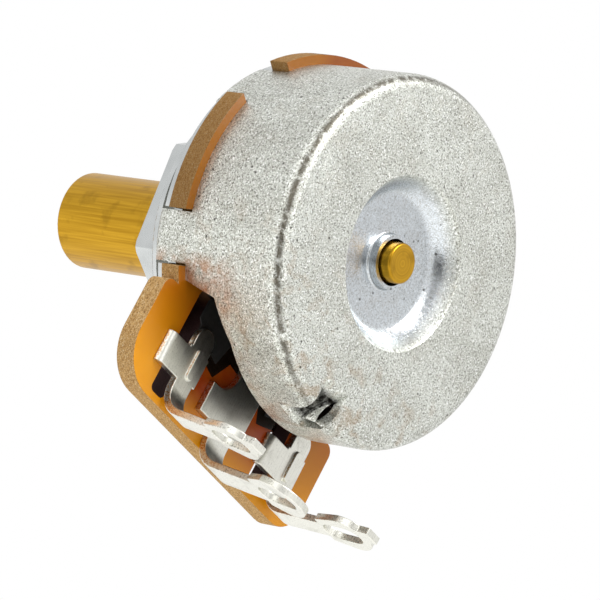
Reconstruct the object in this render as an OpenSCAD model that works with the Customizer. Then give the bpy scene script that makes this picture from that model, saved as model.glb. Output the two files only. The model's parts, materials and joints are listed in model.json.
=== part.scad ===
// Panel potentiometer with a drawn cover, three solder lugs and a plain round shaft.
// Row frame: +Z up, shaft along -Y, rear of the cover at +Y, solder lugs at the bottom (-Z).
// The origin is on the shaft's axis, in the plane of the bushing's shoulder that meets the panel.
// Pieces are drawn in a local frame, x right, y up and z forward along the shaft, then turned.

/* [Cover] */
// Outer diameter of the drawn cover
cover_d = 23.8; // [23.4:0.1:24.6]
// Thickness of the cover's sheet
cover_t = 0.6; // [0.5:0.05:0.7]
// Distance from the panel seat to the cover's rear face
body_depth = 12.4; // [12:0.1:13.2]
// Outer radius of the cover's rear corner
cover_corner_r = 1.0; // [0.8:0.1:1.3]
// Radius of the dish where it leaves the rear face
dish_rim_r = 5.1; // [4.8:0.1:5.6]
// Radius of the dish's flat floor
dish_floor_r = 4.0; // [3.6:0.1:4.3]
// Depth of the dish
dish_depth = 1.5; // [1.2:0.1:1.7]
// Height of the collar that the pilot pin turns in
collar_h = 0.66; // [0.4:0.02:0.9]
// Thickness of the collar at its lip
collar_t = 0.25; // [0.2:0.01:0.4]
// Height of the arch that lets the terminals out
arch_h = 3.1; // [2.6:0.1:3.4]
// Half of the arch's width at the board
arch_half_w = 8.75; // [8.2:0.1:9]
// How far the stop dent reaches in from the wall
dent_run = 2.6; // [2.3:0.1:2.7]
// Width of the stop dent
dent_w = 2.4; // [2.2:0.1:3.2]
// Width of the open slit along the dent's right side
dent_slit = 0.45; // [0.3:0.05:0.6]
// Width of the two upper fold-over tabs
upper_tab_w = 4.0; // [3:0.1:4.6]
// Width of the two lower fold-over tabs
lower_tab_w = 3.2; // [2.4:0.1:3.6]
// Angle of the upper tabs above the horizontal
upper_tab_angle = 28; // [26:0.5:31]
// Angle of the lower tabs below the horizontal
lower_tab_angle = 30; // [28:0.5:32]
// Length of a tab's folded leaf
tab_leaf = 2.4; // [1.8:0.1:2.8]

/* [Board and front plate] */
// Thickness of the phenolic board
board_t = 1.45; // [1.3:0.05:1.6]
// How far the board's ears stand out of the cover's slots
ear_proud = 0.62; // [0.4:0.02:0.8]
// Width of the board's lower part
board_w = 20.4; // [20:0.1:21.4]
// Distance from the axis to the board's lower edge
board_drop = 15.45; // [15.05:0.05:16.2]
// Distance from the axis to the shoulders of the board's lower part
board_shoulder = 8.6; // [8.3:0.1:9.2]
// Radius of the board's lower corner beside the left terminal
left_corner_r = 3.0; // [2:0.1:4]
// Radius of the board's lower corner beside the right terminal
right_corner_r = 2.1; // [1.5:0.1:4]
// Thickness of the steel front plate
plate_t = 0.95; // [0.85:0.05:1.1]

/* [Bushing and hardware] */
// Thread diameter of the bushing
thread_d = 9.525; // [9.4:0.025:9.6]
// Length of the threaded part of the bushing
bushing_len = 5.6; // [5.3:0.1:6.2]
// Radius of the bushing's shoulder
shoulder_r = 7.9; // [7.4:0.1:8.4]
// Thickness of the bushing's shoulder
shoulder_t = 2.4; // [2.1:0.1:2.6]
// Outer radius of the dress washer
washer_r = 9.4; // [9:0.1:9.8]
// Thickness of the dress washer
washer_t = 0.45; // [0.35:0.05:0.8]
// Width of the nut across its flats
nut_af = 12.7; // [12.5:0.1:14]
// Thickness of the nut
nut_t = 3.45; // [2.4:0.05:3.6]
// Angle of one of the nut's flats above the horizontal
nut_turn = -9; // [-30:1:30]

/* [Shaft] */
// Diameter of the shaft that takes a knob
shaft_d = 6.35; // [6.3:0.01:6.4]
// Distance from the panel seat to the shaft's end
shaft_reach = 14.9; // [12:0.1:24]
// Diameter of the shaft inside the bushing
journal_d = 6.0; // [5.8:0.02:6.1]
// Diameter of the pilot pin at the rear
pilot_d = 2.6; // [2.4:0.05:2.8]

/* [Terminals] */
// Thickness of the terminals' sheet
term_t = 0.5; // [0.45:0.05:0.6]
// Distance of the left terminal from the axis
left_term_x = 5.12; // [4.9:0.02:5.3]
// Distance of the right terminal from the axis
right_term_x = 6.91; // [6.7:0.02:7.1]
// Width of an outer terminal's strip
strip_w = 2.05; // [1.9:0.05:2.2]
// Width of an outer terminal's neck, where it curls
outer_neck_w = 1.6; // [1.4:0.1:1.9]
// Width of the centre terminal's neck, where it curls
centre_neck_w = 2.1; // [1.9:0.1:2.3]
// Width of an outer solder lug's head
outer_lug_w = 3.5; // [3.2:0.1:3.8]
// Width of the centre solder lug's head
centre_lug_w = 4.2; // [3.8:0.1:4.4]
// Outer radius of the curl between strip and lug
curl_r = 1.55; // [1.4:0.05:2]
// Length of the oblong hole in a lug
lug_hole_len = 3.0; // [2.7:0.1:3.2]
// Width of the oblong hole in a lug
lug_hole_w = 1.8; // [1.6:0.1:2]

/* [Rotor] */
// Clearance between the moulded rotor disc and the cover's wall
rotor_side_gap = 1.7; // [1.4:0.1:2]
// Thickness of the moulded rotor disc
rotor_t = 1.5; // [1.2:0.1:1.8]
// Distance from the cover's wall to the middle of the carbon track
track_inset = 2.9; // [2.8:0.1:3.1]
// Width of the carbon track
track_w = 1.8; // [1.6:0.1:2]

/* [Hidden] */
$fn = 64;
eps = 0.01;
// How far a cutting shape runs past what it cuts
past = 1;

// Levels along the axis, measured forward from the panel seat
z_plate_front = -shoulder_t;
z_plate_rear = z_plate_front - plate_t;
z_board_rear = z_plate_rear - board_t;
z_cover_rear = -body_depth;
z_dish_floor = z_cover_rear + dish_depth;
z_dish_inside = z_dish_floor + cover_t;

// Cover
cover_r = cover_d / 2;
cover_in_r = cover_r - cover_t;
dish_steps = 10;
pilot_gap = 0.2;
pilot_hole_r = pilot_d / 2 + pilot_gap;
collar_entry_r = 0.4;
collar_root_r = 0.2;
collar_steps = 4;
dent_start_r = cover_r - dent_run;
dent_shift = 0.25;
arch_lean = 0.6;
arch_side_h = arch_h * 0.75;
arch_top_half_w = arch_half_w * 0.66;
tab_inner_bend_r = 0.3;
// A tab is its angle and its width
tabs = [[upper_tab_angle, upper_tab_w], [180 - upper_tab_angle, upper_tab_w],
        [180 + lower_tab_angle, lower_tab_w], [-lower_tab_angle, lower_tab_w]];
tab_gap = 0.15;
seat_gap = 0.05;

// Board
board_r = cover_r + ear_proud;
shoulder_corner_r = 0.7;
corner_steps = 12;

// Bushing
bushing_neck_r = 4.0;
stake_r = 4.6;
stake_t = 0.5;
thread_chamfer = 0.5;
running_gap = 0.045;
nut_gap = 0.05;
nut_corner_turn = 0.23;
nut_chamfer_angle = 30;
washer_gap = 0.25;
washer_edge_r = 0.15;

// Shaft and what sits on it
shaft_chamfer = 0.2;
shaft_play = 0.1;
journal_r = journal_d / 2;
z_thrust = z_plate_rear - stake_t;
thrust_t = 0.35;
thrust_inset = 0.2;
ring_t = 0.55;
z_ring = z_thrust - thrust_t;
z_drive = z_ring - ring_t;
ring_groove_r = 2.55;
ring_r = 4.6;
ring_window_r = 3.65;
ring_prong_w = 1.6;
ring_lap = 0.3;
ring_open_half_angle = 30;
drive_r = 2.9;
drive_half_flat = 2.2;
pilot_chamfer = 0.1;
pilot_inset = 0.1;
drive_gap = 0.6;
fit_gap = 0.05;

// Contacts on the board
board_hole_r = stake_r + 0.2;
film_t = 0.08;
collector_in_r = board_hole_r + 0.2;
collector_out_r = collector_in_r + 1.4;
track_half_angle = 142;
pad_angle = 22;
pad_reach = 1.7;
pad_tongue_w = 1.2;
pad_tongue_len = 2.2;

// Rotor levels
rotor_rear_gap = 1.4;
z_rotor_rear = z_dish_inside + rotor_rear_gap;
rotor_r = cover_in_r - rotor_side_gap;
track_mid_r = cover_in_r - track_inset;
z_rotor_front = z_rotor_rear + rotor_t;
hub_r = 4.0;
spring_t = 0.25;
spring_r = 6.8;
spring_arm_w = 2.4;
spring_arm_root_r = spring_r - 2;
spring_foot_r = 0.6;
brush_gap = 0.08;
track_brush_r = 0.6;
collector_brush_r = 0.55;
brush_h = 0.5;
collector_mid_r = (collector_in_r + collector_out_r) / 2;
stop_t = 0.6;
stop_lug_side_gap = 1.3;
stop_lug_r = cover_in_r - stop_lug_side_gap;
stop_lug_w = 6.0;
stop_lug_end_gap = 0.3;
z_stop_lug = z_cover_rear + cover_t + stop_lug_end_gap;
rivet_r = 0.5;
rivet_head_r = 0.9;
rivet_head_t = 0.3;
rivet_pitch_r = 5.4;

// Outer terminals, with their places given from the board's lower edge
head_r = 0.88;
head_y = board_drop - 5.12;
strip_top = board_drop - 4.45;
strip_bottom = board_drop - 2.3;
ear_reach = 2.95;
ear_top = board_drop - 4.25;
ear_len = 2.2;
rib_top = board_drop - 4.6;
rib_len = 2.2;
rib_w = 0.6;
rib_h = 0.2;
// Slots that the ears bridge; a slot is its right edge, its width and its top
slot_corner_r = 0.35;
slot_bottom = board_drop - 0.5;
slots = [[left_term_x + strip_w / 2, 0.9, board_drop - 7.85],
         [-right_term_x + strip_w / 2, 1.6, board_drop - 5.85]];

// Plate of the centre terminal, with a round notch at its left
plate_left_x = 2.8;
plate_right_x = -1.72;
plate_top = board_drop - 3.8;
plate_bottom = board_drop - 1.7;
plate_neck_x = 0.95;
notch_r = 1.35;
ring_bite = 0.5;

// Each lug: distance of its curl below the axis, lean outwards in degrees, and distance of its hole
// centre from the curl
left_bend = [board_drop - 1.1, 9, 5.1];
centre_bend = [board_drop - 0.35, 8.4, 5.85];
right_bend = [board_drop - 1.4, 3, 5.6];
// Each kind of head: its length before and after the hole's centre, and the length of its sheared stub
outer_head = [1.8, 2.1, 0.55];
centre_head = [2.3, 2.0, 0];
curl_steps = 24;
curl_lap = 0.5;
stub_w = 1.3;
stub_shift = 0.35;

// Turns a piece from the local frame to the row frame
module forward() {
    rotate([90, 0, 0]) children();
}

// A pie slice from angle a0 to a1, wide enough to cut any piece
module slice(a0, a1) {
    reach = 30;
    steps = ceil((a1 - a0) / 30);
    polygon(concat([[0, 0]], [for (i = [0:steps]) let (a = a0 + (a1 - a0) * i / steps)
        [reach * cos(a), reach * sin(a)]]));
}

// Half section of a closed drum with round corners, from level z0 up to z1
module drum_section(r, rear_r, front_r, z0, z1) {
    translate([0, z0]) square([r - rear_r, z1 - z0 - front_r]);
    translate([0, z0 + rear_r]) square([r - front_r, z1 - z0 - rear_r]);
    translate([0, z0 + rear_r]) square([r, z1 - z0 - rear_r - front_r]);
    translate([r - rear_r, z0 + rear_r]) circle(rear_r);
    translate([r - front_r, z1 - front_r]) circle(front_r);
}

// Rear surface of the dish at radius r: a cosine blend down to its floor
function dish_z(r) =
    r <= dish_floor_r ? z_dish_floor
    : z_cover_rear + dish_depth * (1 + cos(180 * (r - dish_floor_r) / (dish_rim_r - dish_floor_r))) / 2;

// Points of an arc about c, from angle a0 to a1
function arc(c, radius, a0, a1, steps) = [for (i = [0:steps])
    let (a = a0 + (a1 - a0) * i / steps) [c[0] + radius * cos(a), c[1] + radius * sin(a)]];

// Half section of the pressed dish, from its rim to the collar that is drawn out round the pilot hole
module dish_section() {
    collar_r = pilot_hole_r + collar_t;
    collar_z = z_dish_floor - collar_h;
    dish_run = dish_rim_r - dish_floor_r;
    rear = [for (i = [0:dish_steps]) let (r = dish_rim_r - dish_run * i / dish_steps) [r, dish_z(r)]];
    inside = [for (i = [0:dish_steps])
        let (r = dish_floor_r + dish_run * i / dish_steps) [r, dish_z(r) + cover_t]];
    root = arc([collar_r + collar_root_r, z_dish_floor - collar_root_r],
        collar_root_r, 90, 180, collar_steps);
    entry = arc([pilot_hole_r + collar_entry_r, z_dish_inside - collar_entry_r],
        collar_entry_r, 180, 90, collar_steps);
    polygon(concat(rear, root, [[collar_r, collar_z], [pilot_hole_r, collar_z]], entry, inside));
}

// Prism at the bottom of the rim that a punch leaves: a 45 degree slope from start_r to the wall,
// from x0 to x1
module dent_prism(start_r, x0, x1) {
    run = cover_r + past - start_r;
    translate([x0, 0, 0]) rotate([90, 0, 90]) linear_extrude(x1 - x0) polygon([
        [-start_r, z_cover_rear], [-start_r - run, z_cover_rear], [-start_r - run, z_cover_rear + run]]);
}

// The pressed-in sheet round the dent, which is sheared open along its right side
module dent_wall() {
    intersection() {
        translate([0, 0, z_cover_rear + cover_t / 2]) cylinder(h = body_depth, r = cover_r - cover_t / 2);
        dent_prism(dent_start_r - cover_t * sqrt(2),
            dent_shift - dent_w / 2 + dent_slit, dent_shift + dent_w / 2 + cover_t);
    }
}

// Half section of the whole sheet: dish, rear face, wall and the leaf that lies on the front plate
module sheet_section() {
    difference() {
        drum_section(cover_r, cover_corner_r, tab_inner_bend_r + cover_t,
            z_cover_rear, z_plate_front + cover_t);
        drum_section(cover_in_r, cover_corner_r - cover_t, tab_inner_bend_r,
            z_cover_rear + cover_t, z_plate_front);
        translate([0, z_cover_rear - past]) square([dish_rim_r, body_depth]);
        translate([0, z_plate_front - past]) square([cover_r - tab_leaf, cover_t + 2 * past]);
    }
    dish_section();
}

// What is cut from the wall in front of the board's rear face, so that only the tabs stay
module between_tabs() {
    difference() {
        translate([0, 0, z_board_rear]) cylinder(h = body_depth, r = cover_r + past);
        for (tab = tabs) rotate([0, 0, tab[0]]) translate([0, -tab[1] / 2, z_board_rear - past])
            cube([cover_r + 2 * past, tab[1], body_depth + 2 * past]);
    }
}

// Opening in the wall above the terminals, as a prism that runs downwards
module arch_cut() {
    side_x = arch_half_w - arch_lean;
    rotate([90, 0, 0]) linear_extrude(cover_r + past) polygon([
        [-arch_half_w, z_board_rear + past], [-arch_half_w, z_board_rear],
        [-side_x, z_board_rear - arch_side_h], [-arch_top_half_w, z_board_rear - arch_h],
        [arch_top_half_w, z_board_rear - arch_h], [side_x, z_board_rear - arch_side_h],
        [arch_half_w, z_board_rear], [arch_half_w, z_board_rear + past]]);
}

module cover() color("#c9c7c1") forward() {
    difference() {
        union() {
            rotate_extrude() sheet_section();
            dent_wall();
        }
        dent_prism(dent_start_r, dent_shift - dent_w / 2, dent_shift + dent_w / 2);
        between_tabs();
        arch_cut();
    }
}

// Notches in a disc for the cover's tabs, with round floors at radius floor_r
module tab_notches(floor_r) {
    notch_len = board_r + past - floor_r / 2;
    difference() {
        for (tab = tabs) rotate(tab[0]) translate([floor_r / 2, -tab[1] / 2 - tab_gap])
            square([notch_len, tab[1] + 2 * tab_gap]);
        circle(floor_r);
    }
}

module front_plate() color("#b9bfc6") forward() translate([0, 0, z_plate_rear]) linear_extrude(plate_t)
    difference() {
        circle(cover_r - seat_gap, $fn = 96);
        circle(bushing_neck_r);
        tab_notches(cover_in_r - tab_inner_bend_r - seat_gap);
    }

// Outline of the board: a disc with ears, and a lower part with round corners
module board_outline() {
    half_w = board_w / 2;
    shoulder_y = -board_shoulder - shoulder_corner_r;
    shoulder_x = half_w - shoulder_corner_r;
    circle(board_r, $fn = 96);
    polygon(concat(
        arc([-shoulder_x, shoulder_y], shoulder_corner_r, 90, 180, corner_steps),
        arc([-half_w + right_corner_r, -board_drop + right_corner_r],
            right_corner_r, 180, 270, corner_steps),
        arc([half_w - left_corner_r, -board_drop + left_corner_r], left_corner_r, -90, 0, corner_steps),
        arc([shoulder_x, shoulder_y], shoulder_corner_r, 0, 90, corner_steps)));
}

// Slots in the board beside the two outer strips, which their ears bridge
module board_slots() {
    for (slot = slots) {
        x0 = slot[0] + slot_corner_r;
        x1 = slot[0] + slot[1] - slot_corner_r;
        y0 = -slot_bottom + slot_corner_r;
        y1 = -slot[2] - slot_corner_r;
        polygon(concat(arc([x1, y0], slot_corner_r, -90, 0, 4), arc([x1, y1], slot_corner_r, 0, 90, 4),
            arc([x0, y1], slot_corner_r, 90, 180, 4), arc([x0, y0], slot_corner_r, 180, 270, 4)));
    }
}

module base_board() color("#c27a22") forward() translate([0, 0, z_board_rear]) linear_extrude(board_t)
    difference() {
        board_outline();
        circle(board_hole_r);
        tab_notches(cover_in_r - seat_gap);
        board_slots();
    }

module bushing() color("#d0cfc8") forward() rotate_extrude() {
    bore_r = journal_r + running_gap;
    thread_r = thread_d / 2;
    polygon([
        [bore_r, z_plate_rear - stake_t], [stake_r, z_plate_rear - stake_t],
        [stake_r, z_plate_rear], [bushing_neck_r, z_plate_rear],
        [bushing_neck_r, z_plate_front], [shoulder_r, z_plate_front],
        [shoulder_r, 0], [thread_r, 0],
        [thread_r, bushing_len - thread_chamfer], [thread_r - thread_chamfer, bushing_len],
        [bore_r, bushing_len]]);
}

module mounting_washer() color("#b8c4cc") forward() rotate_extrude() {
    in_r = thread_d / 2 + washer_gap;
    difference() {
        translate([in_r, 0]) square([washer_r - in_r, washer_t]);
        translate([washer_r - washer_edge_r, washer_t - washer_edge_r]) difference() {
            square(washer_edge_r + eps);
            circle(washer_edge_r);
        }
    }
}

// A hexagon whose corners are turned off on both faces
module mounting_nut() color("#c3c9cc") forward() translate([0, 0, washer_t]) difference() {
    corner_r = nut_af / 2 / cos(30);
    face_r = corner_r - nut_corner_turn;
    cone_run = nut_corner_turn + past;
    cone_h = cone_run * tan(nut_chamfer_angle);
    intersection() {
        rotate([0, 0, nut_turn + 30]) cylinder(h = nut_t, r = corner_r, $fn = 6);
        rotate_extrude() polygon([[0, 0], [face_r, 0], [face_r + cone_run, cone_h],
            [face_r + cone_run, nut_t - cone_h], [face_r, nut_t], [0, nut_t]]);
    }
    translate([0, 0, -past]) cylinder(h = nut_t + 2 * past, r = thread_d / 2 + nut_gap);
}

// Printed arc on the board, from angle a0 to a1
module track_arc(in_r, out_r, a0, a1) intersection() {
    difference() {
        circle(out_r, $fn = 96);
        circle(in_r, $fn = 96);
    }
    slice(a0, a1);
}

module film() {
    translate([0, 0, z_board_rear - film_t]) linear_extrude(film_t) children();
}

module carbon_track() color("#1d1c1b") forward() film()
    track_arc(track_mid_r - track_w / 2, track_mid_r + track_w / 2,
        90 - track_half_angle, 90 + track_half_angle);

// Printed pad that joins one end of the track to the strip on its own side: side is 1 on the left
module track_pad(side, strip_x) {
    a0 = 90 - side * track_half_angle;
    a1 = a0 - side * pad_angle;
    forward() film() difference() {
        union() {
            track_arc(track_mid_r - track_w / 2, track_mid_r + track_w / 2 + pad_reach,
                min(a0, a1), max(a0, a1));
            translate([strip_x - pad_tongue_w / 2, -head_y]) square([pad_tongue_w, pad_tongue_len]);
        }
        translate([strip_x, 0]) strip_outline(eps);
        board_slots();
    }
}

module left_track_pad() color("#26241f") track_pad(1, left_term_x);
module right_track_pad() color("#26241f") track_pad(-1, -right_term_x);

// Flat part of an outer terminal on its own axis, grown by margin
module strip_outline(margin) {
    translate([0, -head_y]) circle(head_r + margin);
    translate([-head_r - margin, -strip_top - margin])
        square([2 * (head_r + margin), strip_top - head_y + margin]);
    translate([-strip_w / 2 - margin, -strip_bottom - margin])
        square([strip_w + 2 * margin, strip_bottom - strip_top + 2 * margin]);
}

// Curl and solder lug of a terminal: bend = [distance of the curl, lean, hole distance]
module curl_and_lug(bend, neck_w, lug_w, head) {
    lean = bend[1];
    z_curl = z_board_rear - curl_r;
    inner_r = curl_r - term_t;
    end_y = -bend[0] - curl_lap * sin(lean);
    end_z = z_curl - curl_lap * cos(lean);
    translate([-neck_w / 2, 0, 0]) rotate([90, 0, 90]) linear_extrude(neck_w) polygon(concat(
        [[-bend[0] + curl_lap, z_board_rear]],
        arc([-bend[0], z_curl], curl_r, 90, 180 - lean, curl_steps),
        [for (r = [curl_r, inner_r]) [end_y - r * cos(lean), end_z + r * sin(lean)]],
        arc([-bend[0], z_curl], inner_r, 180 - lean, 90, curl_steps),
        [[-bend[0] + curl_lap, z_board_rear - term_t]]));
    translate([0, -bend[0] - curl_r * cos(lean), z_curl + curl_r * sin(lean)])
        rotate([-90 - lean, 0, 0]) linear_extrude(term_t) lug_outline(bend[2], neck_w, lug_w, head);
}

// Flat shape of a solder lug, from the end of the curl at y = 0
module lug_outline(hole_y, neck_w, lug_w, head) {
    round_y = hole_y + head[1] - lug_w / 2;
    hole_half = (lug_hole_len - lug_hole_w) / 2;
    difference() {
        union() {
            translate([-neck_w / 2, curl_lap / 2]) square([neck_w, hole_y - curl_lap / 2]);
            translate([-lug_w / 2, hole_y - head[0]]) square([lug_w, round_y - hole_y + head[0]]);
            translate([0, round_y]) circle(lug_w / 2);
            if (head[2] > 0) translate([stub_shift - stub_w / 2, round_y])
                square([stub_w, lug_w / 2 + head[2]]);
        }
        for (side = [-1, 1]) translate([0, hole_y + side * hole_half]) circle(lug_hole_w / 2);
        translate([-lug_hole_w / 2, hole_y - hole_half]) square([lug_hole_w, 2 * hole_half]);
    }
}

// Lays a flat shape on the board's rear face
module on_board(t) {
    translate([0, 0, z_board_rear - t]) linear_extrude(t) children();
}

// Ear that bridges the slot beside the strip, with its outer end pressed round onto the board
module ear() {
    translate([0, -ear_top, z_board_rear]) rotate([90, 0, 0]) linear_extrude(ear_len)
        polygon(concat([[0, 0], [0, -term_t]], arc([ear_reach - term_t, 0], term_t, -90, 0, 8)));
}

// An outer terminal at x; both are the same stamping, bent in two ways
module outer_terminal(x, bend) {
    translate([x, 0, 0]) {
        on_board(term_t) {
            strip_outline(0);
            translate([-outer_neck_w / 2, -bend[0] + curl_lap / 2])
                square([outer_neck_w, bend[0] - curl_lap / 2 - strip_top]);
        }
        ear();
        on_board(term_t + rib_h) {
            for (y = [rib_top + rib_w / 2, rib_top + rib_len - rib_w / 2])
                translate([0, -y]) circle(rib_w / 2);
            translate([-rib_w / 2, -rib_top - rib_len + rib_w / 2]) square([rib_w, rib_len - rib_w]);
        }
        curl_and_lug(bend, outer_neck_w, outer_lug_w, outer_head);
    }
}

module left_terminal() color("#cfcfcb") forward() outer_terminal(left_term_x, left_bend);
module right_terminal() color("#cfcfcb") forward() outer_terminal(-right_term_x, right_bend);

// The centre terminal: a ring round the hub, a neck, a plate and the lug
module centre_terminal() color("#cfcfcb") forward() {
    half_neck = centre_neck_w / 2;
    neck_end_y = -centre_bend[0] + curl_lap / 2;
    ring_y = -collector_in_r - ring_bite;
    on_board(term_t) {
        difference() {
            circle(collector_out_r);
            circle(collector_in_r);
        }
        polygon(concat([[plate_right_x, ring_y], [plate_right_x, -plate_bottom],
            [-half_neck, -plate_bottom],
            [-half_neck, neck_end_y], [half_neck, neck_end_y], [half_neck, -plate_bottom],
            [plate_left_x, -plate_bottom], [plate_left_x, -plate_top]],
            arc([plate_neck_x + notch_r, -plate_top + notch_r], notch_r, 270, 180, 8),
            [[plate_neck_x, ring_y]]));
    }
    curl_and_lug(centre_bend, centre_neck_w, centre_lug_w, centre_head);
}

// Section of the double-D drive, with a gap all round
module drive_section(gap) {
    intersection() {
        circle(drive_r + gap);
        square([2 * (drive_half_flat + gap), 4 * drive_r], center = true);
    }
}

module shaft() color("#b8912e") forward() {
    r = shaft_d / 2;
    z_shoulder = bushing_len + shaft_play;
    pilot_r = pilot_d / 2;
    z_pilot = z_dish_inside + drive_gap;
    z_tip = z_cover_rear + pilot_inset;
    rotate_extrude() polygon([
        [0, z_drive], [ring_groove_r, z_drive], [ring_groove_r, z_ring], [journal_r, z_ring],
        [journal_r, z_shoulder], [r, z_shoulder],
        [r, shaft_reach - shaft_chamfer], [r - shaft_chamfer, shaft_reach], [0, shaft_reach]]);
    translate([0, 0, z_pilot]) linear_extrude(z_drive - z_pilot) drive_section(0);
    rotate_extrude() polygon([[0, z_pilot], [pilot_r, z_pilot], [pilot_r, z_tip + pilot_chamfer],
        [pilot_r - pilot_chamfer, z_tip], [0, z_tip]]);
}

module thrust_washer() color("#8f949a") forward() translate([0, 0, z_ring]) linear_extrude(thrust_t)
    difference() {
        circle(stake_r - thrust_inset);
        circle(journal_r + fit_gap);
    }

// Retaining ring with an open side and three prongs in the shaft's groove
module retaining_ring() color("#6f7479") forward() translate([0, 0, z_drive]) linear_extrude(ring_t) {
    difference() {
        union() {
            difference() {
                circle(ring_r);
                circle(ring_window_r);
            }
            for (a = [0, 120, 240]) rotate(a) translate([ring_groove_r, -ring_prong_w / 2])
                square([ring_r - ring_groove_r - ring_lap, ring_prong_w]);
        }
        circle(ring_groove_r + fit_gap);
        slice(180 - ring_open_half_angle, 180 + ring_open_half_angle);
    }
}

module rotor_carrier() color("#2b2622") forward() difference() {
    union() {
        translate([0, 0, z_rotor_rear]) cylinder(h = rotor_t, r = rotor_r);
        translate([0, 0, z_rotor_rear]) cylinder(h = z_drive - z_rotor_rear, r = hub_r);
    }
    translate([0, 0, z_rotor_rear - past]) linear_extrude(body_depth) drive_section(fit_gap);
    rivet_holes();
}

module rivet_holes() {
    for (a = [0, 180]) rotate([0, 0, a]) translate([rivet_pitch_r, 0, z_cover_rear])
        cylinder(h = body_depth, r = rivet_r);
}

// A leaf that slopes from the spring's ring to a brush at radius end_r and level z_end
module spring_arm(end_r, z_end) {
    rotate([90, 0, 0]) translate([0, 0, -spring_arm_w / 2]) linear_extrude(spring_arm_w) {
        z_root = z_rotor_front;
        polygon([[spring_arm_root_r, z_root], [spring_arm_root_r, z_root + spring_t],
            [end_r - spring_foot_r, z_end + spring_t], [end_r + spring_foot_r, z_end + spring_t],
            [end_r + spring_foot_r, z_end], [end_r - spring_foot_r, z_end]]);
    }
}

z_track_leaf = z_board_rear - film_t - brush_gap - brush_h - spring_t;
z_collector_leaf = z_board_rear - term_t - brush_gap - brush_h - spring_t;

module wiper_spring() color("#b98a4a") forward() difference() {
    union() {
        translate([0, 0, z_rotor_front]) linear_extrude(spring_t) difference() {
            circle(spring_r);
            circle(hub_r + fit_gap);
        }
        rotate([0, 0, 90]) spring_arm(track_mid_r, z_track_leaf);
        rotate([0, 0, -90]) spring_arm(collector_mid_r, z_collector_leaf);
    }
    rivet_holes();
    translate([0, 0, z_cover_rear]) cylinder(h = body_depth, r = hub_r + fit_gap);
}

module track_brush() color("#3a3a3c") forward()
    translate([0, track_mid_r, z_track_leaf + spring_t]) cylinder(h = brush_h, r = track_brush_r);

module collector_brush() color("#c9b070") forward()
    translate([0, -collector_mid_r, z_collector_leaf + spring_t])
        cylinder(h = brush_h, r = collector_brush_r);

module stop_plate() color("#a3a6a8") forward() {
    difference() {
        translate([0, 0, z_rotor_rear - stop_t]) linear_extrude(stop_t) difference() {
            union() {
                circle(spring_r);
                translate([-stop_lug_w / 2, 0]) square([stop_lug_w, stop_lug_r]);
            }
            drive_section(fit_gap);
        }
        rivet_holes();
    }
    translate([-stop_lug_w / 2, stop_lug_r - stop_t, z_stop_lug])
        cube([stop_lug_w, stop_t, z_rotor_rear - stop_t - z_stop_lug + eps]);
}

module rotor_rivets() color("#9a8552") forward() {
    z_front = z_rotor_front + spring_t;
    z_back = z_rotor_rear - stop_t;
    for (a = [0, 180]) rotate([0, 0, a]) translate([rivet_pitch_r, 0, 0]) {
        translate([0, 0, z_back]) cylinder(h = z_front - z_back, r = rivet_r);
        translate([0, 0, z_front]) cylinder(h = rivet_head_t, r1 = rivet_head_r, r2 = rivet_r);
        translate([0, 0, z_back - rivet_head_t]) cylinder(h = rivet_head_t, r1 = rivet_r, r2 = rivet_head_r);
    }
}

cover();
front_plate();
base_board();
bushing();
mounting_washer();
mounting_nut();
carbon_track();
left_track_pad();
right_track_pad();
left_terminal();
centre_terminal();
right_terminal();
shaft();
thrust_washer();
retaining_ring();
rotor_carrier();
wiper_spring();
track_brush();
collector_brush();
stop_plate();
rotor_rivets();
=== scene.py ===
# %% [markdown]
# # A panel potentiometer, seen from behind
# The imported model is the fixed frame. Everything below dresses it: first the frame and the view, then
# the light, then one short cell per finish, and at the end the pieces whose edges or threads need a
# finer surface than their solids have.

# %% Load the frame
import json
import math

import bmesh
import bpy
import numpy as np
from mathutils import Matrix, Vector


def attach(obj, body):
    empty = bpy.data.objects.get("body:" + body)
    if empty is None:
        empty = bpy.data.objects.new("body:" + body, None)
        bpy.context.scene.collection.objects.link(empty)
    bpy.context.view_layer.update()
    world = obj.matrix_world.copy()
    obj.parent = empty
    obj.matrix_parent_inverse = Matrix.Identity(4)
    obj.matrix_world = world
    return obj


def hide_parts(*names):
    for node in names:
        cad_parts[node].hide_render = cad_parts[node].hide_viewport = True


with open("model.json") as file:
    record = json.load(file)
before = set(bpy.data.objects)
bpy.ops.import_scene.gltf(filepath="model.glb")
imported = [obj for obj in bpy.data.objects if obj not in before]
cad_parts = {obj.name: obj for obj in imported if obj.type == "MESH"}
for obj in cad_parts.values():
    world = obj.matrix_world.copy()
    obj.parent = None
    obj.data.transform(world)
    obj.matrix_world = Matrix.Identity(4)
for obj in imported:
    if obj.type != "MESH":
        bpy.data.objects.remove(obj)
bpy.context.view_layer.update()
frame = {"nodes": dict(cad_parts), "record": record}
MM = 0.001
BODY_OF = {name: body for body, names in frame["record"]["behaviour"]["bodies"].items() for name in names}
SLOT_OF = {part["node"]: part["material_slot"] for part in frame["record"]["subparts"]}
print("nodes:", len(frame["nodes"]))

# %% [markdown]
# ## Camera
# A photograph of a small part is taken from a few hundred millimetres away, so its far side looks
# smaller than its near side. The camera therefore stands at the real distance, with a long lens, and
# looks up a little from below the shaft's axis.

# %% Place the camera
CAMERA_PLACE_MM = (190.9, 190.59, -105.25)
CAMERA_RIGHT = (-0.4981, 0.7521, 0.4316)
CAMERA_DOWN = (-0.5491, 0.1117, -0.8283)
PHOTO_PIXELS = 600
FOCAL_PIXELS = 4503.3
SENSOR_MM = 36.0
NEAREST_SEEN_MM = 10


def camera_turn(right, down):
    """Rotation whose columns are the camera's right, up and backward directions, made square."""
    right = Vector(right).normalized()
    down = (Vector(down) - right * Vector(down).dot(right)).normalized()
    return Matrix((right, -down, right.cross(-down))).transposed()


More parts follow.
